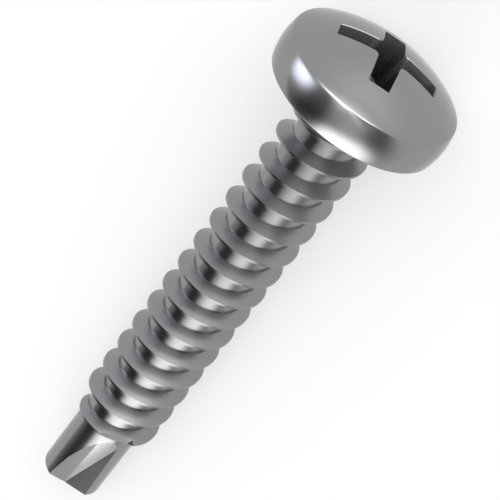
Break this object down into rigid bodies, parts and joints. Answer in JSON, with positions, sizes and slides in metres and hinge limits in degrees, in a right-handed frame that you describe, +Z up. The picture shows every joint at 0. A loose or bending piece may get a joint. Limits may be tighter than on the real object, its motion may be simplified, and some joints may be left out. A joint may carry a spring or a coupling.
{
  "type": "self drilling screw",
  "caption": "Self drilling screw with a low domed pan head, a cross recess, a coarse thread up to the head and a fluted drill point.",
  "frame": {"origin": "on the table under the middle of the lying screw's bounding box", "axes": "+Z up from the table, +X towards the head; the screw's own axis runs from the drill point up to the head, tilted 5.8 degrees from +X towards +Z, because the head is wider than the thread"},
  "size_m": [0.029, 0.0084, 0.0084],
  "materials": {
    "steel": "bright zinc plated, smooth"
  },
  "bodies": {
    "root": {"screw": "steel"}
  },
  "joints": []
}
